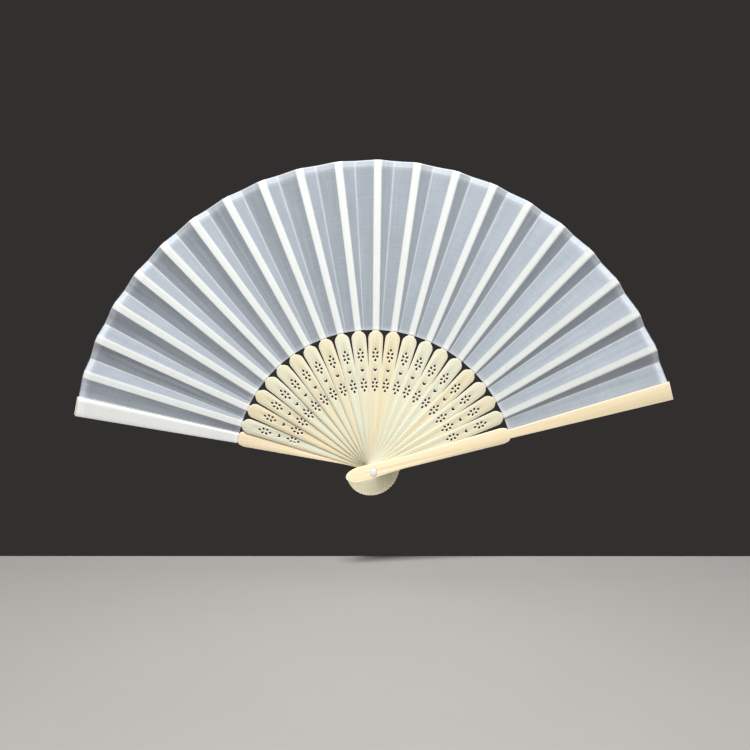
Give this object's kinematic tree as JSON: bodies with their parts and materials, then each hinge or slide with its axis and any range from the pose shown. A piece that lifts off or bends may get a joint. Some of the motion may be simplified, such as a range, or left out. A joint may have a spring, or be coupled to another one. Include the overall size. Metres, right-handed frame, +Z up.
{
  "type": "folding hand fan",
  "caption": "Open folding hand fan: pierced bamboo sticks and two plain guards on a domed rivet, with a pleated white silk leaf that folds shut between the guards.",
  "frame": {"origin": "on the rivet's axis, halfway through the stack of sticks, which is where a hand holds the fan", "axes": "+Z up as the open fan is held or displayed, +Y along the rivet from the front guard to the rear guard, +X towards the front guard's side, so that the fan faces -Y"},
  "size_m": [0.4121, 0.0256, 0.2291],
  "materials": {
    "guard_bamboo": "sanded, light wax",
    "stick_bamboo": "sanded, unvarnished",
    "leaf_silk": "sheer plain weave, slight sheen",
    "rivet_plastic": "glossy",
    "rivet_steel": "plain"
  },
  "bodies": {
    "front_guard": {"front_guard": "guard_bamboo", "leaf_strip_00": "leaf_silk", "rivet_pin": "rivet_steel", "rivet_cap_front": "rivet_plastic", "rivet_cap_rear": "rivet_plastic"},
    "stick_01": {"stick_01": "stick_bamboo", "leaf_pleat_01": "leaf_silk"},
    "stick_02": {"stick_02": "stick_bamboo", "leaf_pleat_02": "leaf_silk"},
    "stick_03": {"stick_03": "stick_bamboo", "leaf_pleat_03": "leaf_silk"},
    "stick_04": {"stick_04": "stick_bamboo", "leaf_pleat_04": "leaf_silk"},
    "stick_05": {"stick_05": "stick_bamboo", "leaf_pleat_05": "leaf_silk"},
    "stick_06": {"stick_06": "stick_bamboo", "leaf_pleat_06": "leaf_silk"},
    "stick_07": {"stick_07": "stick_bamboo", "leaf_pleat_07": "leaf_silk"},
    "stick_08": {"stick_08": "stick_bamboo", "leaf_pleat_08": "leaf_silk"},
    "stick_09": {"stick_09": "stick_bamboo", "leaf_pleat_09": "leaf_silk"},
    "stick_10": {"stick_10": "stick_bamboo", "leaf_pleat_10": "leaf_silk"},
    "stick_11": {"stick_11": "stick_bamboo", "leaf_pleat_11": "leaf_silk"},
    "stick_12": {"stick_12": "stick_bamboo", "leaf_pleat_12": "leaf_silk"},
    "stick_13": {"stick_13": "stick_bamboo", "leaf_pleat_13": "leaf_silk"},
    "stick_14": {"stick_14": "stick_bamboo", "leaf_pleat_14": "leaf_silk"},
    "stick_15": {"stick_15": "stick_bamboo", "leaf_pleat_15": "leaf_silk"},
    "stick_16": {"stick_16": "stick_bamboo", "leaf_pleat_16": "leaf_silk"},
    "stick_17": {"stick_17": "stick_bamboo", "leaf_pleat_17": "leaf_silk"},
    "stick_18": {"stick_18": "stick_bamboo", "leaf_pleat_18": "leaf_silk"},
    "stick_19": {"stick_19": "stick_bamboo", "leaf_pleat_19": "leaf_silk"},
    "stick_20": {"stick_20": "stick_bamboo", "leaf_pleat_20": "leaf_silk"},
    "rear_guard": {"rear_guard": "guard_bamboo", "leaf_pleat_21": "leaf_silk"}
  },
  "joints": [
    {"name": "fold", "type": "hinge", "parent": "front_guard", "child": "rear_guard", "pos_m": [0, 0, 0], "axis": [0, 1, 0], "range_deg": [0, 153.3], "deforming": ["leaf_pleat_01", "leaf_pleat_02", "leaf_pleat_03", "leaf_pleat_04", "leaf_pleat_05", "leaf_pleat_06", "leaf_pleat_07", "leaf_pleat_08", "leaf_pleat_09", "leaf_pleat_10", "leaf_pleat_11", "leaf_pleat_12", "leaf_pleat_13", "leaf_pleat_14", "leaf_pleat_15", "leaf_pleat_16", "leaf_pleat_17", "leaf_pleat_18", "leaf_pleat_19", "leaf_pleat_20", "leaf_pleat_21"]},
    {"name": "stick_01_turn", "type": "hinge", "parent": "front_guard", "child": "stick_01", "pos_m": [0, 0, 0], "axis": [0, 1, 0], "range_deg": [0, 8.61]},
    {"name": "stick_02_turn", "type": "hinge", "parent": "front_guard", "child": "stick_02", "pos_m": [0, 0, 0], "axis": [0, 1, 0], "range_deg": [0, 15.87]},
    {"name": "stick_03_turn", "type": "hinge", "parent": "front_guard", "child": "stick_03", "pos_m": [0, 0, 0], "axis": [0, 1, 0], "range_deg": [0, 23.13]},
    {"name": "stick_04_turn", "type": "hinge", "parent": "front_guard", "child": "stick_04", "pos_m": [0, 0, 0], "axis": [0, 1, 0], "range_deg": [0, 30.39]},
    {"name": "stick_05_turn", "type": "hinge", "parent": "front_guard", "child": "stick_05", "pos_m": [0, 0, 0], "axis": [0, 1, 0], "range_deg": [0, 37.65]},
    {"name": "stick_06_turn", "type": "hinge", "parent": "front_guard", "child": "stick_06", "pos_m": [0, 0, 0], "axis": [0, 1, 0], "range_deg": [0, 44.91]},
    {"name": "stick_07_turn", "type": "hinge", "parent": "front_guard", "child": "stick_07", "pos_m": [0, 0, 0], "axis": [0, 1, 0], "range_deg": [0, 52.17]},
    {"name": "stick_08_turn", "type": "hinge", "parent": "front_guard", "child": "stick_08", "pos_m": [0, 0, 0], "axis": [0, 1, 0], "range_deg": [0, 59.43]},
    {"name": "stick_09_turn", "type": "hinge", "parent": "front_guard", "child": "stick_09", "pos_m": [0, 0, 0], "axis": [0, 1, 0], "range_deg": [0, 66.69]},
    {"name": "stick_10_turn", "type": "hinge", "parent": "front_guard", "child": "stick_10", "pos_m": [0, 0, 0], "axis": [0, 1, 0], "range_deg": [0, 73.95]},
    {"name": "stick_11_turn", "type": "hinge", "parent": "front_guard", "child": "stick_11", "pos_m": [0, 0, 0], "axis": [0, 1, 0], "range_deg": [0, 81.21]},
    {"name": "stick_12_turn", "type": "hinge", "parent": "front_guard", "child": "stick_12", "pos_m": [0, 0, 0], "axis": [0, 1, 0], "range_deg": [0, 88.47]},
    {"name": "stick_13_turn", "type": "hinge", "parent": "front_guard", "child": "stick_13", "pos_m": [0, 0, 0], "axis": [0, 1, 0], "range_deg": [0, 95.73]},
    {"name": "stick_14_turn", "type": "hinge", "parent": "front_guard", "child": "stick_14", "pos_m": [0, 0, 0], "axis": [0, 1, 0], "range_deg": [0, 102.99]},
    {"name": "stick_15_turn", "type": "hinge", "parent": "front_guard", "child": "stick_15", "pos_m": [0, 0, 0], "axis": [0, 1, 0], "range_deg": [0, 110.25]},
    {"name": "stick_16_turn", "type": "hinge", "parent": "front_guard", "child": "stick_16", "pos_m": [0, 0, 0], "axis": [0, 1, 0], "range_deg": [0, 117.51]},
    {"name": "stick_17_turn", "type": "hinge", "parent": "front_guard", "child": "stick_17", "pos_m": [0, 0, 0], "axis": [0, 1, 0], "range_deg": [0, 124.77]},
    {"name": "stick_18_turn", "type": "hinge", "parent": "front_guard", "child": "stick_18", "pos_m": [0, 0, 0], "axis": [0, 1, 0], "range_deg": [0, 132.03]},
    {"name": "stick_19_turn", "type": "hinge", "parent": "front_guard", "child": "stick_19", "pos_m": [0, 0, 0], "axis": [0, 1, 0], "range_deg": [0, 139.29]},
    {"name": "stick_20_turn", "type": "hinge", "parent": "front_guard", "child": "stick_20", "pos_m": [0, 0, 0], "axis": [0, 1, 0], "range_deg": [0, 146.55]}
  ],
  "couplings": [
    {"joint": "stick_01_turn", "follows": "fold", "ratio": 0.056099},
    {"joint": "stick_02_turn", "follows": "fold", "ratio": 0.10346},
    {"joint": "stick_03_turn", "follows": "fold", "ratio": 0.15082},
    {"joint": "stick_04_turn", "follows": "fold", "ratio": 0.19817},
    {"joint": "stick_05_turn", "follows": "fold", "ratio": 0.24553},
    {"joint": "stick_06_turn", "follows": "fold", "ratio": 0.29289},
    {"joint": "stick_07_turn", "follows": "fold", "ratio": 0.34025},
    {"joint": "stick_08_turn", "follows": "fold", "ratio": 0.38761},
    {"joint": "stick_09_turn", "follows": "fold", "ratio": 0.43496},
    {"joint": "stick_10_turn", "follows": "fold", "ratio": 0.48232},
    {"joint": "stick_11_turn", "follows": "fold", "ratio": 0.52968},
    {"joint": "stick_12_turn", "follows": "fold", "ratio": 0.57704},
    {"joint": "stick_13_turn", "follows": "fold", "ratio": 0.6244},
    {"joint": "stick_14_turn", "follows": "fold", "ratio": 0.67175},
    {"joint": "stick_15_turn", "follows": "fold", "ratio": 0.71911},
    {"joint": "stick_16_turn", "follows": "fold", "ratio": 0.76647},
    {"joint": "stick_17_turn", "follows": "fold", "ratio": 0.81383},
    {"joint": "stick_18_turn", "follows": "fold", "ratio": 0.86119},
    {"joint": "stick_19_turn", "follows": "fold", "ratio": 0.90855},
    {"joint": "stick_20_turn", "follows": "fold", "ratio": 0.9559}
  ]
}
